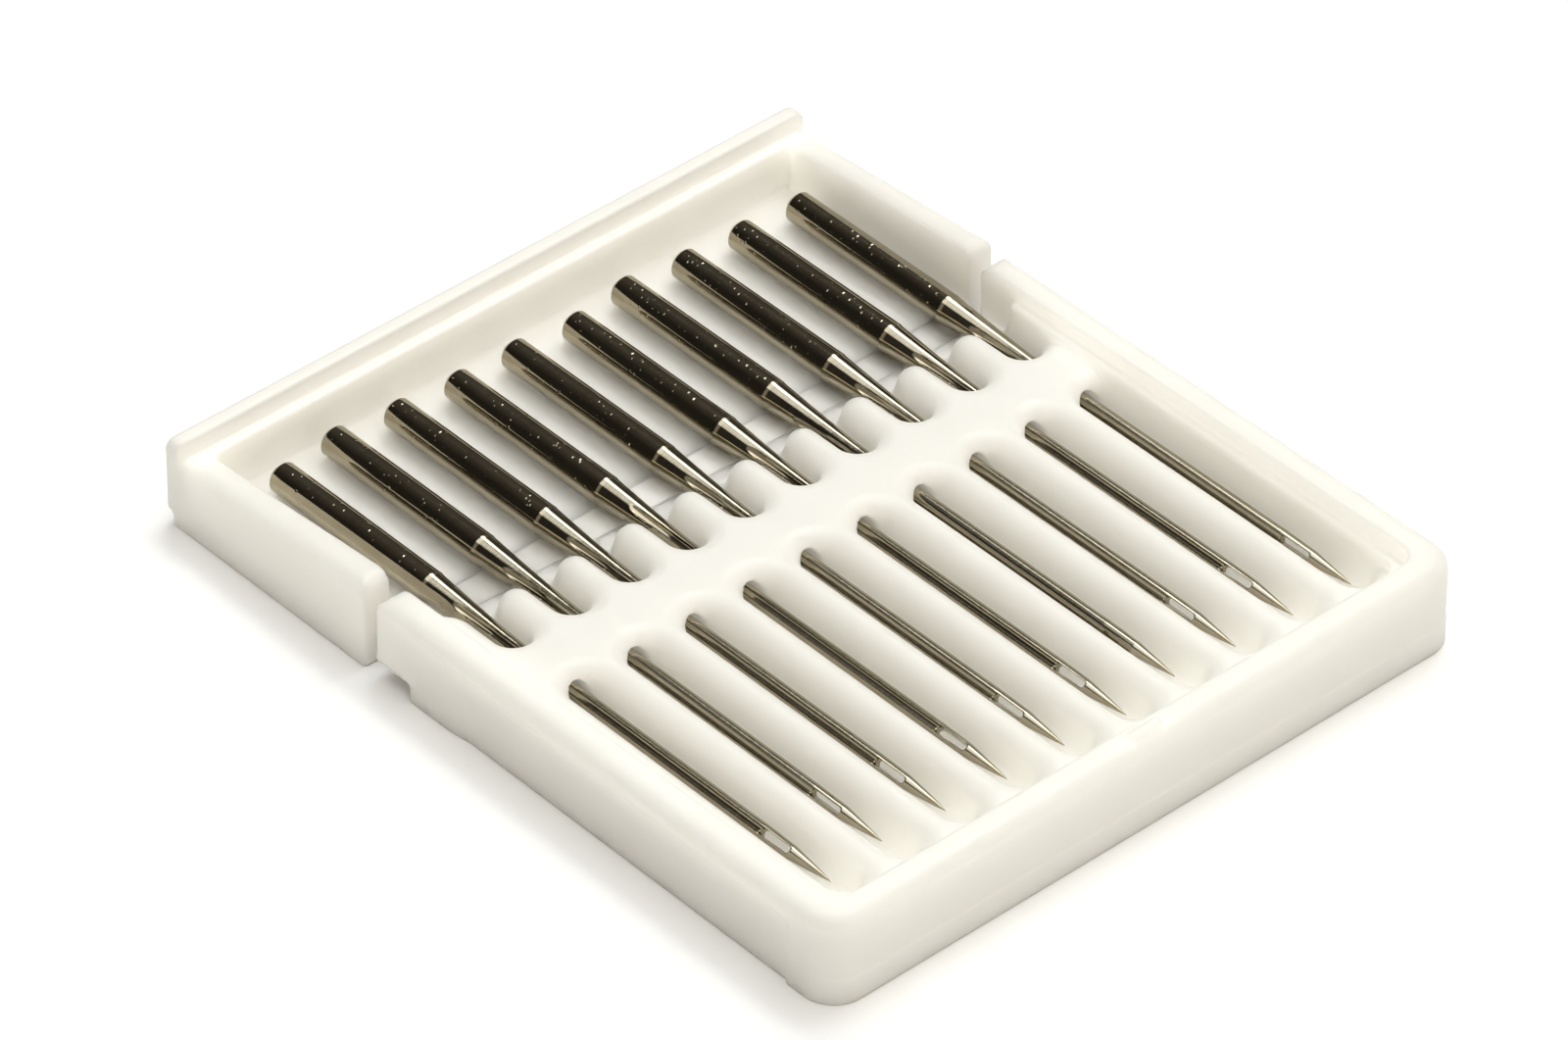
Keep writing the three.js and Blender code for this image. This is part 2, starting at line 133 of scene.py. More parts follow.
@dataclass(frozen=True)
class Mesher:
    """Wraps a distance field in a closed mesh, one vertex for each grid cell that it crosses."""

    step: Triple
    keep: float = 0.3
    margin: int = 2
    nudge: float = 0.01
    longest_move: float = 0.5
    least_slope: float = 1e-3
    least_length: float = 1e-9
    normal_weight: int = 90

    def cells(self, distance: Distance, low: Array, high: Array) -> tuple[Array, Array]:
        """Finds the cells that the surface passes through and joins them into quads.

        Args:
            distance: The field to wrap.
            low: Lowest corner of the solid.
            high: Highest corner of the solid.

        Returns:
            The vertices in millimetres and the quads as rows of four vertex numbers.
        """
        axes = [np.arange(a - self.margin * s, b + (self.margin + 1) * s, s)
                for a, b, s in zip(low, high, self.step)]
        value = distance(*np.meshgrid(*axes, indexing="ij", sparse=True)).astype(np.float32)
        solid = value < 0.0
        size = np.array(value.shape) - 1
        points, rings = [], []
        for a in range(3):
            b, c = (a + 1) % 3, (a + 2) % 3
            near = [slice(None)] * 3
            far = [slice(None)] * 3
            near[a], far[a] = slice(None, -1), slice(1, None)
            here, there = tuple(near), tuple(far)
            start = np.argwhere(solid[here] != solid[there])
            first, second = value[here][tuple(start.T)], value[there][tuple(start.T)]
            place = np.stack([axes[i][start[:, i]] for i in range(3)], axis=1)
            place[:, a] += self.step[a] * first / (first - second)
            ring = np.repeat(start[:, None, :], 4, axis=1)
            ring[:, 1:3, b] -= 1
            ring[:, 2:4, c] -= 1
            flip = first >= 0.0
            ring[flip] = ring[flip][:, ::-1]
            rings.append((ring[..., 0] * size[1] + ring[..., 1]) * size[2] + ring[..., 2])
            points.append(np.repeat(place[:, None, :], 4, axis=1))
        numbers, place = np.concatenate(rings), np.concatenate(points)
        _, quads = np.unique(numbers.ravel(), return_inverse=True)
        count = np.bincount(quads)
        sums = [np.bincount(quads, place[..., i].ravel()) for i in range(3)]
        return np.stack([total / count for total in sums], axis=1), quads.reshape(-1, 4)

    def slope(self, distance: Distance, points: Array) -> Array:
        """Works out the gradient of the field by central differences.

        Args:
            distance: The field.
            points: Where the gradient is wanted, in millimetres.

        Returns:
            The gradient at each point.
        """
        parts = []
        for i in range(3):
            shift = np.zeros(3)
            shift[i] = self.nudge
            ahead, behind = (points + shift).T, (points - shift).T
            parts.append((distance(*ahead) - distance(*behind)) / (2 * self.nudge))
        return np.stack(parts, axis=1)

    def settle(self, distance: Distance, points: Array, rounds: int = 3) -> Array:
        """Moves points onto the surface along the field's gradient.

        Args:
            distance: The field.
            points: Points near its surface, in millimetres.
            rounds: How many steps to take.

        Returns:
            The points on the surface.
        """
        reach = self.longest_move * min(self.step)
        for _ in range(rounds):
            slope = self.slope(distance, points)
            length = np.maximum((slope ** 2).sum(axis=1), self.least_slope)
            move = np.clip(distance(*points.T) / length, -reach, reach)
            points = points - move[:, None] * slope
        return points

    def build(self, name: str, distance: Distance, low: Array, high: Array,
              true_normals: bool = False) -> Piece:
        """Makes the object: cells, fewer faces where the form is plain, and shading normals.

        Args:
            name: Name of the object.
            distance: The field to wrap.
            low: Lowest corner of the solid, which no vertex passes.
            high: Highest corner of the solid, which no vertex passes.
            true_normals: Takes normals from the field instead of from the faces.

        Returns:
            The new object, linked to the scene.
        """
        vertices, quads = self.cells(distance, low, high)
        vertices = np.clip(self.settle(distance, vertices), low, high)
        piece = new_object(name, vertices, quads)
        thin = piece.modifiers.new("thin", "DECIMATE")
        thin.ratio = self.keep
        apply_modifiers(piece)
        kept = np.zeros(len(piece.data.vertices) * 3, np.float32)
        piece.data.vertices.foreach_get("co", kept)
        vertices = self.settle(distance, kept.reshape(-1, 3).astype(float) / MM)
        vertices = np.clip(vertices, low, high)
        piece.data.vertices.foreach_set("co", (vertices * MM).astype(np.float32).ravel())
        shade_smooth(piece)
        if true_normals:
            slope = self.slope(distance, vertices)
            slope /= np.maximum(np.linalg.norm(slope, axis=1, keepdims=True), self.least_length)
            piece.data.normals_split_custom_set_from_vertices([tuple(n) for n in slope])
        else:
            weigh = piece.modifiers.new("weigh", "WEIGHTED_NORMAL")
            weigh.weight = self.normal_weight
        return piece


def new_object(name: str, vertices: Array, faces: Array) -> Piece:
    """Links a mesh object whose faces all have the same number of sides.

    Args:
        name: Name of the object and of its mesh.
        vertices: Points in millimetres.
        faces: Rows of vertex numbers, all of one length.

    Returns:
        The object.
    """
    mesh = bpy.data.meshes.new(name)
    sides = faces.shape[1]
    mesh.vertices.add(len(vertices))
    mesh.vertices.foreach_set("co", (vertices * MM).astype(np.float32).ravel())
    mesh.loops.add(faces.size)
    mesh.loops.foreach_set("vertex_index", faces.astype(np.int32).ravel())
    mesh.polygons.add(len(faces))
    mesh.polygons.foreach_set("loop_start", np.arange(0, faces.size, sides, dtype=np.int32))
    mesh.update(calc_edges=True)
    mesh.validate()
    piece = bpy.data.objects.new(name, mesh)
    bpy.context.scene.collection.objects.link(piece)
    return piece


def apply_modifiers(piece: Piece) -> None:
    """Replaces an object's mesh by the mesh that its modifiers give.

    Args:
        piece: The object, which loses its modifiers.
    """
    graph = bpy.context.evaluated_depsgraph_get()
    made = bpy.data.meshes.new_from_object(piece.evaluated_get(graph))
    old = piece.data
    piece.modifiers.clear()
    piece.data = made
    made.name = old.name
    bpy.data.meshes.remove(old)


def shade_smooth(piece: Piece) -> None:
    """Sets every face of an object to smooth shading."""
    piece.data.polygons.foreach_set("use_smooth", np.ones(len(piece.data.polygons), dtype=bool))
    piece.data.update()


# Sizes read from the frame


@dataclass(frozen=True)
class CaseFrame:
    """Places in the case, in millimetres, worked out from the frame's nodes."""

    blade_low: Array
    blade_high: Array
    shank_low: Array
    shank_high: Array
    web_low: Array
    web_high: Array
    needle_low: list[Array]
    needle_high: list[Array]

    @staticmethod
    def corners(node: str) -> tuple[Array, Array]:
        """The lowest and the highest corner of a node's box."""
        low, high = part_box(node)
        return np.array(low) / MM, np.array(high) / MM

    @classmethod
    def read(cls) -> "CaseFrame":
        """Reads the boxes of the trays, the hinge web and the needles.

        Returns:
            The places.
        """
        names = sorted(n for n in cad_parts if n.startswith("needle_"))
        boxes = [cls.corners(n) for n in names]
        return cls(
            *cls.corners("blade_tray"),
            *cls.corners("shank_tray"),
            *cls.corners("hinge_web"),
            [low for low, _ in boxes],
            [high for _, high in boxes],
        )

    @property
    def lane_middles(self) -> Array:
        """Where the middle of each lane lies across Y."""
        return np.array([(a[1] + b[1]) / 2 for a, b in zip(self.needle_low, self.needle_high)])

    @property
    def pitch(self) -> float:
        """Distance from one lane to the next."""
        lanes = self.lane_middles
        return float((lanes[-1] - lanes[0]) / (len(lanes) - 1))

    @property
    def outer_half(self) -> float:
        """Half of the case's width."""
        return float(self.blade_high[1])

    @property
    def inner_half(self) -> float:
        """Half of the width between the side walls."""
        return float(self.web_high[1])

    @property
    def floor(self) -> float:
        """Height of the floor under the needles."""
        return float(self.web_high[2])

    @property
    def needle_height(self) -> float:
        """Height of the needles' axes."""
        return float((self.needle_low[0][2] + self.needle_high[0][2]) / 2)


# Finishes


def shader(name: str) -> tuple[Material, Tree, bpy.types.Node]:
    """Starts a node material.

    Args:
        name: Name of the material.

    Returns:
        The material, its node tree and its principled shader.
    """
    material = bpy.data.materials.new(name)
    material.use_nodes = True
    tree = material.node_tree
    return material, tree, tree.nodes["Principled BSDF"]


def noise(tree: Tree, place: Socket, scale: float, detail: float) -> Socket:
    """Adds a noise texture.

    Args:
        tree: The material's nodes.
        place: The coordinates that it reads.
        scale: Repeats per metre.
        detail: Octaves of finer noise.

    Returns:
        The texture's value, about 0 to 1.
    """
    node = tree.nodes.new("ShaderNodeTexNoise")
    node.inputs["Scale"].default_value = scale
    node.inputs["Detail"].default_value = detail
    tree.links.new(place, node.inputs["Vector"])
    return node.outputs["Fac"]


def spread(tree: Tree, value: Socket, low: float, high: float,
           start: float = 0.35, end: float = 0.65) -> Socket:
    """Maps a value from one range onto another, held at both ends.

    Args:
        tree: The nodes of the material or of the world.
        value: What is mapped.
        low: The result where the value is at the start of its range.
        high: The result where the value is at the end of its range.
        start: Start of the value's range, by default the low end of a noise.
        end: End of the value's range, by default the high end of a noise.

    Returns:
        The result.
    """
    node = tree.nodes.new("ShaderNodeMapRange")
    for key, number in (("From Min", start), ("From Max", end), ("To Min", low), ("To Max", high)):
        node.inputs[key].default_value = number
    tree.links.new(value, node.inputs["Value"])
    return node.outputs["Result"]


def blend_colours(tree: Tree, share: Socket, first: Triple, second: Triple) -> Socket:
    """Mixes two colours.

    Args:
        tree: The material's nodes.
        share: Value that is 0 for the first colour and 1 for the second.
        first: The first colour.
        second: The second colour.

    Returns:
        The mixed colour.
    """
    node = tree.nodes.new("ShaderNodeMix")
    node.data_type = "RGBA"
    node.inputs["A"].default_value = (*first, 1.0)
    node.inputs["B"].default_value = (*second, 1.0)
    tree.links.new(share, node.inputs["Factor"])
    return node.outputs["Result"]


def add_up(tree: Tree, first: Socket, second: Socket, clamp: bool = False) -> Socket:
    """Adds one value to another.

    Args:
        tree: The nodes of the material.
        first: One value.
        second: The other value.
        clamp: Holds the sum between 0 and 1.

    Returns:
        The sum.
    """
    node = tree.nodes.new("ShaderNodeMath")
    node.use_clamp = clamp
    tree.links.new(first, node.inputs[0])
    tree.links.new(second, node.inputs[1])
    return node.outputs["Value"]


def part_of(tree: Tree, place: Socket, axis: str) -> Socket:
    """Picks one part of a vector.

    Args:
        tree: The nodes of the material or of the world.
        place: The vector.
        axis: X, Y or Z.

    Returns:
        That part.
    """
    node = tree.nodes.new("ShaderNodeSeparateXYZ")
    tree.links.new(place, node.inputs["Vector"])
    return node.outputs[axis]


def bump(tree: Tree, height: Socket, depth_mm: float, strength: float,
         under: Socket | None = None) -> Socket:
    """Adds a bump of a real depth.

    Args:
        tree: The material's nodes.
        height: Value that stands for the height.
        depth_mm: How deep the bump is where the height goes from 0 to 1.
        strength: Share of the bump that shows.
        under: Normal of a coarser bump below this one.

    Returns:
        The bumped normal.
    """
    node = tree.nodes.new("ShaderNodeBump")
    node.inputs["Distance"].default_value = depth_mm * MM
    node.inputs["Strength"].default_value = strength
    tree.links.new(height, node.inputs["Height"])
    if under is not None:
        tree.links.new(under, node.inputs["Normal"])
    return node.outputs["Normal"]


def object_place(tree: Tree, stretch: Triple = (1.0, 1.0, 1.0)) -> Socket:
    """Adds the object's own coordinates.

    Args:
        tree: The material's nodes.
        stretch: Factor along each axis. A texture is longer where it is below 1.

    Returns:
        The coordinates, in metres before they are stretched.
    """
    source = tree.nodes.new("ShaderNodeTexCoord")
    mapping = tree.nodes.new("ShaderNodeMapping")
    mapping.inputs["Scale"].default_value = stretch
    tree.links.new(source.outputs["Object"], mapping.inputs["Vector"])
    return mapping.outputs["Vector"]


@dataclass(frozen=True)
class MilkyPlastic:
    """Translucent white moulded plastic with a faint grain from the mould."""

    name: str = "milky_plastic"
    pale: Triple = (0.945, 0.93, 0.885)
    deep: Triple = (0.92, 0.9, 0.845)
    cloud_scale: float = 160.0
    grain_scale: float = 5200.0
    grain_mm: float = 0.006
    grain_strength: float = 0.35
    smoothest: float = 0.36
    roughest: float = 0.5
    ripple_scale: float = 900.0
    ripple_stretch: Triple = (1.0, 0.25, 1.0)
    ripple_mm: float = 0.008
    ripple_strength: float = 0.2
    depth_mm: float = 3.0
    depth_by_colour: Triple = (1.0, 1.0, 0.97)
    refraction: float = 1.49
    glow: float = 1.0
    thin_glow: float = 0.45
    thin_until_mm: float | None = None
    thin_run_mm: float = 1.0

    def make(self) -> Material:
        """Builds the material, with less glow in a thin plate at the low end of X if asked.

        Returns:
            The material.
        """
        material, tree, surface = shader(self.name)
        surface.subsurface_method = "BURLEY"
        place = object_place(tree)
        clouds = noise(tree, place, self.cloud_scale, detail=3.0)
        colour = blend_colours(tree, clouds, self.pale, self.deep)
        tree.links.new(colour, surface.inputs["Base Color"])
        grain = noise(tree, place, self.grain_scale, detail=2.0)
        rough = spread(tree, grain, self.smoothest, self.roughest)
        tree.links.new(rough, surface.inputs["Roughness"])
        swirl = noise(tree, object_place(tree, self.ripple_stretch), self.ripple_scale, detail=2.0)
        rippled = bump(tree, swirl, self.ripple_mm, self.ripple_strength)
        grained = bump(tree, grain, self.grain_mm, self.grain_strength, rippled)
        tree.links.new(grained, surface.inputs["Normal"])
        surface.inputs["Subsurface Weight"].default_value = self.glow
        if self.thin_until_mm is not None:
            start = self.thin_until_mm * MM
            end = (self.thin_until_mm + self.thin_run_mm) * MM
            glow = spread(tree, part_of(tree, place, "X"), self.thin_glow, self.glow, start, end)
            tree.links.new(glow, surface.inputs["Subsurface Weight"])
        surface.inputs["Subsurface Radius"].default_value = self.depth_by_colour
        surface.inputs["Subsurface Scale"].default_value = self.depth_mm * MM
        surface.inputs["IOR"].default_value = self.refraction
        return material


@dataclass(frozen=True)
class PlatedSteel:
    """Polished plating over ground steel, duller on the blade, with nicks along the shank."""

    name: str = "plated_steel"
    bright: Triple = (0.44, 0.4, 0.31)
    dull: Triple = (0.3, 0.26, 0.18)
    stain_scale: float = 1500.0
    stain_stretch: Triple = (0.4, 1.0, 1.0)
    ring_scale: float = 16000.0
    ring_stretch: Triple = (1.0, 0.06, 0.06)
    ring_mm: float = 0.002
    ring_strength: float = 0.3
    smoothest: float = 0.07
    roughest: float = 0.12
    blade_roughness: float = 0.07
    blade_start_mm: float = 15.0
    blade_end_mm: float = 19.5
    pit_scale: float = 3000.0
    pit_radii: tuple[float, float] = (0.08, 0.28)
    patch_scale: float = 700.0
    patch_range: tuple[float, float] = (0.4, 0.58)
    nick_mm: float = 0.018
    nick_strength: float = 0.6
    nicked_length_mm: float = 10.8
    nick_fade: float = 0.97

    def roughness(self, tree: Tree, along: Socket, rings: Socket) -> Socket:
        """Adds the roughness, which rises where the blade starts.

        Args:
            tree: The material's nodes.
            along: Distance from the butt, in metres.
            rings: Value of the grinding rings.

        Returns:
            The roughness.
        """
        ground = spread(tree, along, 0.0, self.blade_roughness,
                        self.blade_start_mm * MM, self.blade_end_mm * MM)
        return add_up(tree, spread(tree, rings, self.smoothest, self.roughest), ground)

    def nicks(self, tree: Tree, along: Socket) -> Socket:
        """Adds cone-shaped pits in patches along the shank, laid out anew on each needle.

        Args:
            tree: The material's nodes.
            along: Distance from the butt, in metres.

        Returns:
            The dented normal.
        """
        own = tree.nodes.new("ShaderNodeVectorMath")
        tree.links.new(object_place(tree), own.inputs[0])
        tree.links.new(tree.nodes.new("ShaderNodeObjectInfo").outputs["Random"], own.inputs[1])
        pits = tree.nodes.new("ShaderNodeTexVoronoi")
        pits.inputs["Scale"].default_value = self.pit_scale
        tree.links.new(own.outputs["Vector"], pits.inputs["Vector"])
        patches = noise(tree, own.outputs["Vector"], self.patch_scale, detail=1.0)
        radius = spread(tree, patches, *self.pit_radii, *self.patch_range)
        height = spread(tree, pits.outputs["Distance"], 0.0, 1.0, start=0.0)
        tree.links.new(radius, height.node.inputs["From Max"])
        dented = bump(tree, height, self.nick_mm, self.nick_strength)
        end = self.nicked_length_mm * MM
        on_shank = spread(tree, along, self.nick_strength, 0.0, self.nick_fade * end, end)
        tree.links.new(on_shank, dented.node.inputs["Strength"])
        return dented

    def make(self) -> Material:
        """Builds the material.

        Returns:
            The material.
        """
        material, tree, surface = shader(self.name)
        stains = noise(tree, object_place(tree, self.stain_stretch), self.stain_scale, detail=4.0)
        colour = blend_colours(tree, stains, self.bright, self.dull)
        tree.links.new(colour, surface.inputs["Base Color"])
        along = part_of(tree, object_place(tree), "X")
        rings = noise(tree, object_place(tree, self.ring_stretch), self.ring_scale, detail=2.0)
        tree.links.new(self.roughness(tree, along, rings), surface.inputs["Roughness"])
        ringed = bump(tree, rings, self.ring_mm, self.ring_strength, self.nicks(tree, along))
        tree.links.new(ringed, surface.inputs["Normal"])
        surface.inputs["Metallic"].default_value = 1.0
        return material


# The case


@dataclass
class Tray:
    """What both trays share."""

    node: ClassVar[str]
    body: ClassVar[Body]
    places: CaseFrame
    grid: Triple = (0.12, 0.12, 0.12)
    edge_round: float = 0.75
    inner_round: float = 0.12
    fillet: float = 0.15
    crisp: float = 0.1
    skirt_depth: float = 0.5
    skirt_width: float = 1.5
    skirt_corner: float = 0.3

    def distance(self, x: Array, y: Array, z: Array) -> Array:
        """Distance to the whole tray, which each of the two works out."""
        raise NotImplementedError

    def build(self, material: Material) -> Piece:
        """Makes and dresses the tray.

        Args:
            material: Finish of the tray.

        Returns:
            The tray.
        """
        name = f"{self.node}_moulding"
        piece = Mesher(self.grid).build(name, self.distance, self.low, self.high)
        piece.data.materials.append(material)
        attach(piece, self.body.value)
        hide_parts(self.node)
        return piece


@dataclass
class BladeTray(Tray):
    """The larger tray: lanes for the blades, the bridge over them, ledge, rim and snap nub."""

    node: ClassVar[str] = "blade_tray"
    body: ClassVar[Body] = Body.BLADE_SIDE
    wall_low: float = 4.6
    wall_high: float = 4.9
    end_wall: float = 1.6
    end_land: float = 1.6
    end_corner: float = 1.8
    gap_corner: float = 0.2
    gap_overrun: float = 9.0
    ledge_top: float = 3.85
    ledge_width: float = 0.5
    ledge_round: float = 0.2
    open_floor: float = 1.93
    ridge_top: float = 3.55
    channel_width: float = 1.6
    channel_lean: float = 15.0
    bowl_radius: float = 0.6
    crest_flat: float = 0.14
    bridge_from_gap: float = 5.45
    bridge_length: float = 3.65
    tunnel_half: float = 0.65
    tunnel_round: float = 0.05
    tunnel_edge: float = 0.06
    relief_length: float = 2.4
    relief_floor: float = 0.35
    relief_round: float = 0.2
    side_recess: float = 0.15
    side_recess_top: float = 3.7
    recess_run: float = 0.9
    recess_round: float = 0.05
    recess_edge: float = 0.14
    corner_block: float = 3.0
    foot_step: float = 0.12
    foot_height: float = 1.5
    nub_half: float = 0.95
    nub_radius: float = 0.4
    nub_round: float = 0.15
    nub_fillet: float = 0.12

    def __post_init__(self) -> None:
        """Works out the places along X and the shape of the crests."""
        place = self.places
        self.low, self.high = place.blade_low, place.blade_high
        self.start, self.end = float(self.low[0]), float(self.high[0])
        self.channel_half = self.channel_width / 2
        self.lean = math.radians(self.channel_lean)
        top_half = self.channel_half + math.tan(self.lean) * (self.ridge_top - place.needle_height)
        room = (place.pitch - self.crest_flat) / 2 - top_half
        self.crest_radius = room / (1 / math.cos(self.lean) - math.tan(self.lean))
        self.ridge_half = place.pitch / 2 - self.channel_half
        self.nose = self.start + self.open_floor + self.ridge_half
        self.bridge_start = self.start + self.bridge_from_gap
        self.bridge_end = self.bridge_start + self.bridge_length
        self.wall_face = self.end - self.end_wall
        self.channel_end = self.wall_face - self.end_land

    def top(self, x: Array) -> Array:
        """Height of the rim along X."""
        share = (x - self.start) / (self.end - self.start)
        return self.wall_low + (self.wall_high - self.wall_low) * share

    def offset(self, y: Array, ridges: bool = False) -> Array:
        """Distance across Y to the middle of the nearest lane or ridge.

        Args:
            y: Positions across the case.
            ridges: Measures to the ridges between the lanes instead of to the lanes.

        Returns:
            The distances, never negative.
        """
        lanes, pitch = self.places.lane_middles, self.places.pitch
        first = lanes[0] + pitch / 2 if ridges else lanes[0]
        last = len(lanes) - 2 if ridges else len(lanes) - 1
        nearest = np.clip(np.round((y - first) / pitch), 0, last)
        return np.abs(y - first - nearest * pitch)

    def ledge(self, x: Array, y: Array) -> Array:
        """Distance in plan to the ledges along the side walls, which end in round noses."""
        before_nose = np.maximum(self.nose - x, 0.0)
        return np.hypot(before_nose, self.places.inner_half - np.abs(y)) - self.ledge_width

    def lanes_plan(self, x: Array, y: Array) -> Array:
        """Distance in plan to the lanes as wide as they are at the needles' height.

        Args:
            x: Positions along the case.
            y: Positions across the case.

        Returns:
            The distances, negative inside a lane.
        """
        place, half = self.places, self.channel_half
        before_nose = np.maximum(self.nose - x, 0.0)
        solid = np.hypot(before_nose, self.offset(y, ridges=True)) - self.ridge_half
        for side, lane in ((-1, place.lane_middles[0]), (1, place.lane_middles[-1])):
            beside = place.inner_half - side * lane - half
            solid = np.minimum(solid, np.hypot(before_nose, y - side * place.inner_half) - beside)

        lane = self.offset(y)
        last = self.bridge_start - half
        shank_end = np.hypot(np.maximum(x - last, 0.0), lane) - half
        shank_side = np.where(x < (self.nose + last) / 2, -solid, shank_end)
        low, high = self.bridge_end + half, self.channel_end - half
        beyond = np.maximum(np.maximum(low - x, x - high), 0.0)
        return np.minimum(shank_side, np.hypot(beyond, lane) - half)

    def inside(self, x: Array, y: Array, z: Array) -> Array:
        """Distance to the floor, ridges, bridge and ledge, before the rim is added.

        Args:
            x: Positions along the case.
            y: Positions across the case.
            z: Heights.

        Returns:
            The distances, negative inside the solid.
        """
        rise = math.tan(self.lean) * (z - self.places.needle_height)
        sides = (self.lanes_plan(x, y) - rise) * math.cos(self.lean)
        hollow = round_max(sides, self.places.floor - z, self.bowl_radius)
        ledge = self.ledge(x, y)
        hollow = np.maximum(hollow, -ledge)
        lanes = round_max(z - self.ridge_top, -hollow, self.crest_radius)
        land = self.channel_end + self.crest_radius - x
        shelf = round_min(ledge, land, self.crest_radius)
        shelf = round_max(shelf, z - self.ledge_top, self.ledge_round)
        return round_min(lanes, shelf, self.fillet)

    def tunnels(self, x: Array, y: Array, z: Array) -> Array:
        """Distance to the arched tunnels under the bridge and the windows below them.

        Args:
            x: Positions along the case.
            y: Positions across the case.
            z: Heights.

        Returns:
            The distances, negative inside a tunnel or window.
        """
        lane = self.offset(y)
        arch = np.hypot(lane, np.maximum(z - self.places.needle_height, 0.0)) - self.tunnel_half
        middle = (self.bridge_start + self.bridge_end) / 2
        window = np.abs(x - middle) - self.bridge_length / 2
        through = np.abs(x - middle) - self.bridge_length / 2 - self.channel_half
        along = np.where(z < self.places.floor, window, through)
        return round_max(arch, along, self.tunnel_round)

    def rimmed(self, x: Array, y: Array, z: Array) -> Array:
        """Distance to the block with its rim, lanes and tunnels.

        Args:
            x: Positions along the case.
            y: Positions across the case.
            z: Heights.

        Returns:
            The distances, negative inside the solid.
        """
        place = self.places
        plan = rectangle(x, y, self.start, self.end - self.foot_step, place.outer_half,
                         self.gap_corner, self.end_corner)
        block = round_max(round_max(plan, z - self.top(x), self.edge_round), -z, self.crisp)
        cavity = rectangle(x, y, self.start - self.gap_overrun, self.wall_face, place.inner_half,
                           0.0, self.end_corner - self.end_wall / 2)
        rim = round_max(block, -cavity, self.inner_round)
        tray = round_min(rim, np.maximum(block, self.inside(x, y, z)), self.fillet)
        return round_max(tray, -self.tunnels(x, y, z), self.tunnel_edge)

    def distance(self, x: Array, y: Array, z: Array) -> Array:
        """Distance to the whole tray.

        Args:
            x: Positions along the case.
            y: Positions across the case.
            z: Heights.

        Returns:
            The distances, negative inside the solid.
        """
        place = self.places
        skirt = rectangle(x, y, self.start + self.relief_length + self.skirt_width,
                          self.end - self.foot_step - self.skirt_width,
                          place.outer_half - self.skirt_width, self.skirt_corner, self.end_corner / 2)
        tray = round_max(self.rimmed(x, y, z), -np.maximum(skirt, z - self.skirt_depth), self.crisp)
        under_gap = x - self.start - self.relief_length
        relief = round_max(under_gap, z - place.floor + self.relief_floor, self.relief_round)
        tray = round_max(tray, -relief, self.crisp)

        depth = self.side_recess * np.clip((x - self.bridge_start) / self.recess_run, -1.0, 1.0)
        recess = np.maximum(place.outer_half - depth - np.abs(y), x - self.end + self.corner_block)
        recess = round_max(recess, z - self.side_recess_top, self.recess_round)
        tray = round_max(tray, -recess, self.recess_edge)

        foot = rectangle(x, y, self.end - self.corner_block, self.end, place.outer_half,
                         0.0, self.end_corner)
        foot = round_max(round_max(foot, z - self.foot_height, self.foot_step), -z, self.crisp)
        tray = np.minimum(tray, foot)

        nub_x = self.wall_face + self.end_wall / 2
        nub = np.hypot(x - nub_x, z - self.top(self.wall_face)) - self.nub_radius
        nub = round_max(nub, np.abs(y) - self.nub_half, self.nub_round)
        return round_min(tray, nub, self.nub_fillet)


@dataclass
class ShankTray(Tray):
    """The shallow tray under the shanks, with the finger lip across its end."""

    node: ClassVar[str] = "shank_tray"
    body: ClassVar[Body] = Body.SHANK_SIDE
    lip_thickness: float = 0.8
    lip_bottom: float = 0.5
    lip_top: float = 4.85
    lip_corner: float = 0.5
    lip_round: float = 0.12
    lip_overrun: float = 4.0
    butt_wall: float = 0.7
    wall_low: float = 3.9
    wall_high: float = 4.9
    gap_corner: float = 0.2
    gap_overrun: float = 6.0
    floor_fillet: float = 0.35

    def __post_init__(self) -> None:
        """Works out the places along X."""
        self.low, self.high = self.places.shank_low, self.places.shank_high
        self.start, self.end = float(self.low[0]), float(self.high[0])
        self.wall_start = self.start + self.lip_thickness

    def distance(self, x: Array, y: Array, z: Array) -> Array:
        """Distance to the whole tray.

        Args:
            x: Positions along the case.
            y: Positions across the case.
            z: Heights.

        Returns:
            The distances, negative inside the solid.
        """
        place = self.places
        share = (x - self.wall_start) / (self.end - self.wall_start)
        top = self.wall_low + (self.wall_high - self.wall_low) * share
        plan = rectangle(x, y, self.wall_start - self.lip_overrun, self.end, place.outer_half,
                         0.0, self.gap_corner)
        block = round_max(round_max(plan, z - top, self.edge_round), -z, self.crisp)
        block = np.maximum(block, self.start + self.lip_thickness / 2 - x)

        cavity = rectangle(x, y, self.wall_start + self.butt_wall, self.end + self.gap_overrun,
                           place.inner_half, self.floor_fillet, 0.0)
        cavity = round_max(cavity, place.floor - z, self.floor_fillet)
        tray = round_max(block, -cavity, self.inner_round)
        below = rectangle(x, y, self.wall_start + self.skirt_width, self.end - self.skirt_width,
                          place.outer_half - self.skirt_width, self.skirt_corner, self.skirt_corner)
        tray = round_max(tray, -np.maximum(below, z - self.skirt_depth), self.crisp)

        plate = rectangle(z, y, self.lip_bottom, self.lip_top, place.outer_half,
                          self.lip_corner, self.lip_corner)
        thick = np.abs(x - self.start - self.lip_thickness / 2) - self.lip_thickness / 2
        return round_min(tray, round_max(plate, thick, self.lip_round), self.fillet)


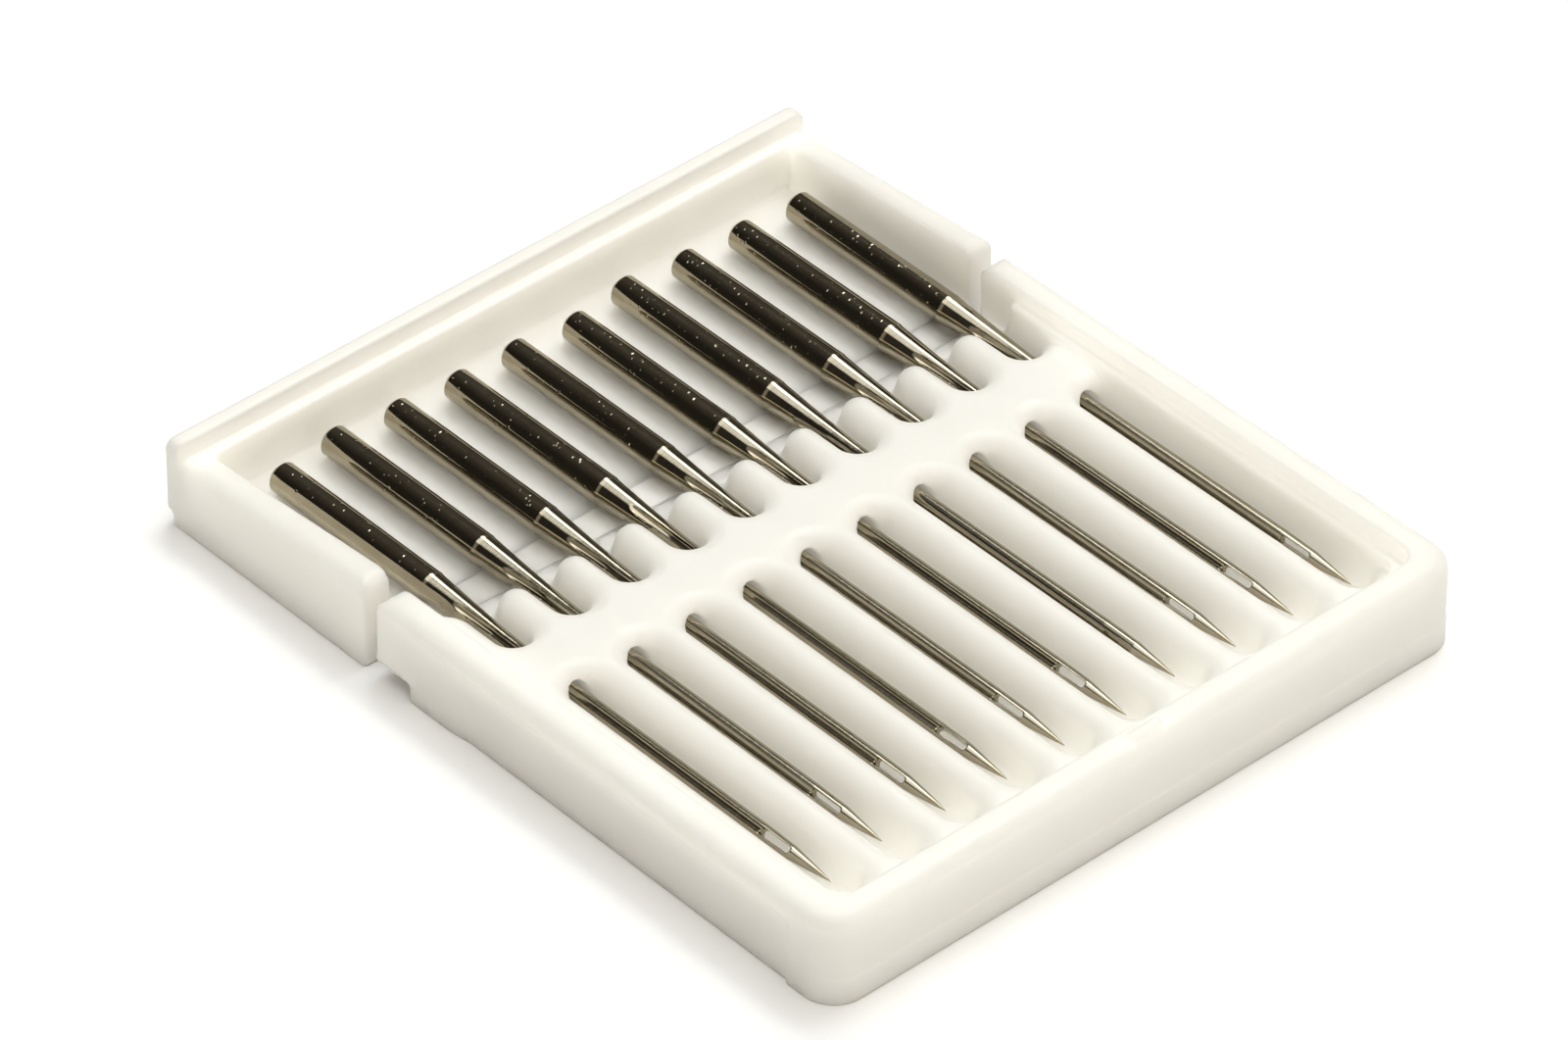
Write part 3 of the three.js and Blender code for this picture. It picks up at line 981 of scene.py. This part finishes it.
@dataclass
class HingeWeb:
    """The thin film between the trays, which bends as the shank tray folds."""

    places: CaseFrame
    tuck: float = 0.5
    proud: float = 0.004
    rows: int = 14
    thinnest: float = 0.6
    glow_depth_mm: float = 0.8

    def build(self, material: Material) -> Piece:
        """Makes the film as a strip, thinner along its middle.

        Args:
            material: Finish of the film.

        Returns:
            The film.
        """
        low, high = self.places.web_low, self.places.web_high
        vertices = []
        for row in range(self.rows + 1):
            share = row / self.rows
            x = low[0] - self.tuck + (high[0] - low[0] + 2 * self.tuck) * share
            under = low[2] + (high[2] - low[2]) * (1 - self.thinnest) * math.sin(math.pi * share) ** 2
            over = high[2] + self.proud
            for y, z in ((low[1], under), (high[1], under), (high[1], over), (low[1], over)):
                vertices.append((x, y, z))
        faces, corners = [], 4
        for row in range(self.rows):
            for side in range(corners):
                a, b = row * corners + side, row * corners + (side + 1) % corners
                faces.append((a, a + corners, b + corners, b))
        last = self.rows * corners
        faces.append((0, 1, 2, 3))
        faces.append((last + 3, last + 2, last + 1, last))
        piece = new_object("hinge_film", np.array(vertices), np.array(faces))
        piece.data.materials.append(material)
        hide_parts("hinge_web")
        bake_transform(piece)
        return piece


# The needles


@dataclass
class Needle:
    """One machine needle, modelled along X from its butt with its eye through Z."""

    grid: Triple = (0.09, 0.05, 0.05)
    shank_radius: float = 0.81
    shank_length: float = 11.0
    butt_chamfer: float = 0.28
    butt_round: float = 0.06
    shoulder: float = 0.15
    neck_radius: float = 0.78
    cone_length: float = 6.7
    cone_hollow: float = 1.4
    cone_spots: int = 9
    blade_radius: float = 0.4
    butt_to_eye: float = 33.8
    eye_length: float = 2.0
    eye_width: float = 0.34
    eye_edge: float = 0.05
    point_length: float = 2.7
    point_start: float = 0.9
    point_curve: float = 0.85
    point_spots: int = 12
    groove_start: float = 13.0
    groove_width: float = 0.34
    groove_depth: float = 0.28
    groove_run_in: float = 3.0
    groove_curve: float = 0.06
    groove_round: float = 0.12
    groove_edge: float = 0.03
    scarf_length: float = 3.4
    scarf_depth: float = 0.2
    scarf_over_eye: float = 0.5
    scarf_edge: float = 0.04

    @property
    def length(self) -> float:
        """Length from butt to tip."""
        return self.butt_to_eye + self.eye_length + self.point_length

    def radius(self, x: Array) -> Array:
        """Radius of the needle along its length, before grooves and eye.

        Args:
            x: Distances from the butt.

        Returns:
            The radius at each of them.
        """
        cone = self.shank_length + self.shoulder
        point = self.butt_to_eye + self.eye_length
        step_in = self.neck_radius - self.blade_radius
        spots = [0.0, self.butt_chamfer, self.shank_length]
        radii = [self.shank_radius - self.butt_chamfer, self.shank_radius, self.shank_radius]
        for share in np.linspace(0.0, 1.0, self.cone_spots):
            spots.append(cone + self.cone_length * share)
            radii.append(self.blade_radius + step_in * (1 - share) ** self.cone_hollow)
        spots.append(self.butt_to_eye)
        radii.append(self.blade_radius)
        for share in np.linspace(0.0, 1.0, self.point_spots):
            spots.append(point + self.point_length * share)
            radii.append(self.blade_radius * self.point_start * (1 - share) ** self.point_curve)
        return np.interp(x, spots, radii)

    def distance(self, x: Array, y: Array, z: Array) -> Array:
        """Distance to the needle.

        Args:
            x: Distances from the butt.
            y: Positions across the eye.
            z: Positions along the eye, with the long groove on the high side.

        Returns:
            The distances, negative inside the steel.
        """
        reach = np.hypot(y, z)
        body = round_max(reach - self.radius(x), -x, self.butt_round)
        body = np.maximum(body, x - self.length)

        floor = self.blade_radius - self.groove_depth
        run_in = np.maximum(self.groove_start + self.groove_run_in - x, 0.0)
        groove = round_max(np.abs(y) - self.groove_width / 2,
                           floor + self.groove_curve * run_in ** 2 - z, self.groove_round)
        groove = np.maximum(groove, x - self.butt_to_eye - self.eye_length / 2)
        body = round_max(body, -groove, self.groove_edge)

        middle = self.butt_to_eye + self.eye_length / 2
        straight = (self.eye_length - self.eye_width) / 2
        eye = np.hypot(np.maximum(np.abs(x - middle) - straight, 0.0), y) - self.eye_width / 2
        body = round_max(body, -eye, self.eye_edge)

        bow = (self.scarf_length ** 2 / 4 + self.scarf_depth ** 2) / (2 * self.scarf_depth)
        centre = self.butt_to_eye + self.scarf_over_eye - self.scarf_length / 2
        low = -self.blade_radius + self.scarf_depth - bow
        scarf = np.hypot(x - centre, z - low) - bow
        return round_max(body, -scarf, self.scarf_edge)

    def mesh(self) -> bpy.types.Mesh:
        """Makes the mesh that every needle gets a copy of.

        Returns:
            The mesh, with normals from the distance field.
        """
        low = np.array([0.0, -self.shank_radius, -self.shank_radius])
        high = np.array([self.length, self.shank_radius, self.shank_radius])
        piece = Mesher(self.grid).build("needle", self.distance, low, high, true_normals=True)
        mesh = piece.data
        bpy.data.objects.remove(piece)
        return mesh


@dataclass
class NeedleSet:
    """The needles as they lie in their lanes."""

    places: CaseFrame
    needle: Needle = field(default_factory=Needle)
    rolls_deg: tuple[float, ...] = (38, 52, 44, 30, 47, 40, 78, 50, 42, 55)

    def build(self, material: Material) -> list[Piece]:
        """Lays a needle in each lane.

        Args:
            material: Finish of the needles.

        Returns:
            The needles in order across Y.
        """
        shared = self.needle.mesh()
        shared.materials.append(material)
        made = []
        for lane, low in enumerate(self.places.needle_low):
            piece = bpy.data.objects.new(f"plated_needle_{lane + 1:02d}", shared.copy())
            bpy.context.scene.collection.objects.link(piece)
            middle = self.places.lane_middles[lane]
            place = Matrix.Translation(Vector((low[0], middle, self.places.needle_height)) * MM)
            roll = Matrix.Rotation(math.radians(self.rolls_deg[lane % len(self.rolls_deg)]), 4, "X")
            piece.matrix_world = place @ roll
            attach(piece, f"needle_{lane + 1:02d}_loose")
            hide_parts(f"needle_{lane + 1:02d}")
            made.append(piece)
        bpy.data.meshes.remove(shared)
        return made


# The studio


@dataclass(frozen=True)
class SoftBox:
    """A lamp with a rectangular face that looks at the case."""

    name: str
    direction: Triple
    size_mm: tuple[float, float]
    watts: float
    colour: Triple

    def hang(self, distance_mm: float) -> None:
        """Hangs the lamp with the first side of its face along the case.

        Args:
            distance_mm: How far it hangs from the case.
        """
        data = bpy.data.lights.new(self.name, "AREA")
        data.shape = "RECTANGLE"
        data.size, data.size_y = (side * MM for side in self.size_mm)
        data.energy = self.watts
        data.color = self.colour
        lamp = bpy.data.objects.new(self.name, data)
        away = Vector(self.direction).normalized()
        along = Vector((0.0, 1.0, 0.0)).cross(away).normalized()
        lamp.matrix_world = Matrix((along, away.cross(along), away)).transposed().to_4x4()
        lamp.matrix_world.translation = away * distance_mm * MM
        bpy.context.scene.collection.objects.link(lamp)


@dataclass
class Studio:
    """The table, the lamps and the camera."""

    azimuth: float = 47.52
    elevation: float = 39.34
    roll: float = 0.68
    distance_mm: float = 470.52
    focal_pixels: float = 10313.65
    photo_width: int = 1600
    target_mm: Triple = (-2.23, 0.33, 2.0)
    sensor_mm: float = 36.0
    nearest_m: float = 0.01
    farthest_m: float = 10.0
    lamps: tuple[SoftBox, ...] = (
        SoftBox("key", (-0.22, 0.43, 0.9), (420.0, 190.0), 1.3, (0.965, 0.99, 1.0)),
        SoftBox("top", (-0.05, 0.0, 1.0), (600.0, 560.0), 1.8, (0.965, 0.99, 1.0)),
        SoftBox("fill", (1.0, -0.15, 0.4), (320.0, 320.0), 0.2, (1.0, 0.98, 0.94)),
    )
    lamp_distance_mm: float = 600.0
    room_colour: Triple = (1.0, 0.92, 0.79)
    room_light: float = 0.42
    room_rise: tuple[float, float] = (-0.45, -0.25)
    dark_side_light: float = 0.1
    dark_side_share: float = 0.3
    dark_side_rise: tuple[float, float] = (-0.45, 0.3)
    table_half_mm: float = 1500.0
    table_steps: int = 8
    table_height_mm: float = -0.01
    table_pale: Triple = (0.97, 0.97, 0.97)
    table_deep: Triple = (0.955, 0.955, 0.955)
    table_white: Triple = (1.1, 1.1, 1.1)
    table_roughness: float = 0.9
    fibre_scale: float = 700.0

    def camera(self) -> None:
        """Places the camera as the photograph's was."""
        a, e, r = (math.radians(v) for v in (self.azimuth, self.elevation, self.roll))
        back = Vector((math.sin(a) * math.cos(e), -math.cos(a) * math.cos(e), math.sin(e)))
        right = Vector((math.cos(a), math.sin(a), 0.0))
        up = back.cross(right)
        turned_right = math.cos(r) * right + math.sin(r) * up
        turned_up = -math.sin(r) * right + math.cos(r) * up
        data = bpy.data.cameras.new("camera")
        data.sensor_width = self.sensor_mm
        data.lens = self.focal_pixels * self.sensor_mm / self.photo_width
        data.clip_start, data.clip_end = self.nearest_m, self.farthest_m
        camera = bpy.data.objects.new("camera", data)
        spot = Vector(self.target_mm) * MM + back * self.distance_mm * MM
        camera.matrix_world = Matrix((turned_right, turned_up, back)).transposed().to_4x4()
        camera.matrix_world.translation = spot
        bpy.context.scene.collection.objects.link(camera)
        bpy.context.scene.camera = camera

    def table(self) -> None:
        """Lays the pale table under the case, pure white where it is seen."""
        steps = self.table_steps
        line = np.linspace(-self.table_half_mm, self.table_half_mm, steps + 1)
        x, y = np.meshgrid(line, line, indexing="ij")
        z = np.full(x.size, self.table_height_mm)
        vertices = np.stack([x.ravel(), y.ravel(), z], axis=1)
        corner = (np.arange(steps)[:, None] * (steps + 1) + np.arange(steps)).ravel()
        faces = np.stack([corner, corner + steps + 1, corner + steps + 2, corner + 1], axis=1)
        table = new_object("table_top", vertices, faces)
        material, tree, surface = shader("pale_table")
        fibre = noise(tree, object_place(tree), self.fibre_scale, detail=3.0)
        lit = blend_colours(tree, fibre, self.table_pale, self.table_deep)
        seen = blend_colours(tree, self.seen_rays(tree), self.table_pale, self.table_white)
        tree.links.new(lit, seen.node.inputs["A"])
        tree.links.new(seen, surface.inputs["Base Color"])
        surface.inputs["Roughness"].default_value = self.table_roughness
        table.data.materials.append(material)

    @staticmethod
    def seen_rays(tree: Tree) -> Socket:
        """Tells what the camera sees, also in metal or through plastic, from the light that falls.

        Args:
            tree: The material's nodes.

        Returns:
            A value that is 1 for what is seen and 0 for the rest.
        """
        rays = tree.nodes.new("ShaderNodeLightPath")
        total = rays.outputs["Is Camera Ray"]
        for kind in ("Is Glossy Ray", "Is Transmission Ray"):
            total = add_up(tree, total, rays.outputs[kind], clamp=True)
        return total

    def world(self) -> None:
        """Gives the room a dim light that fades to dark behind the butts."""
        world = bpy.data.worlds.new("room")
        world.use_nodes = True
        tree = world.node_tree
        backdrop = tree.nodes["Background"]
        backdrop.inputs["Color"].default_value = (*self.room_colour, 1.0)
        towards = tree.nodes.new("ShaderNodeTexCoord").outputs["Generated"]
        darkest = self.dark_side_share * self.dark_side_light
        dark_side = spread(tree, part_of(tree, towards, "Y"), darkest, self.dark_side_light,
                           *self.dark_side_rise)
        light = spread(tree, part_of(tree, towards, "X"), 0.0, self.room_light, *self.room_rise)
        tree.links.new(dark_side, light.node.inputs["To Min"])
        tree.links.new(light, backdrop.inputs["Strength"])
        bpy.context.scene.world = world

    def build(self) -> None:
        """Sets up the whole studio."""
        self.table()
        self.world()
        for lamp in self.lamps:
            lamp.hang(self.lamp_distance_mm)
        self.camera()
        bpy.context.scene.view_settings.view_transform = "Standard"


def main() -> None:
    """Builds the case, its needles and the studio in order."""
    logging.basicConfig(level=logging.INFO, format="%(name)s %(message)s")
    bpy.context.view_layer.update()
    places = CaseFrame.read()
    plastic, steel = MilkyPlastic().make(), PlatedSteel().make()
    shank_tray, web = ShankTray(places), HingeWeb(places)
    lip_plastic = MilkyPlastic("lip_plastic", thin_until_mm=shank_tray.wall_start)
    hinge_plastic = MilkyPlastic("hinge_plastic", depth_mm=web.glow_depth_mm)
    pieces = [
        BladeTray(places).build(plastic),
        shank_tray.build(lip_plastic.make()),
        web.build(hinge_plastic.make()),
        *NeedleSet(places).build(steel),
    ]
    for piece in pieces:
        LOG.info("%s: %d faces", piece.name, len(piece.data.polygons))
    Studio().build()


if __name__ == "__main__":
    main()
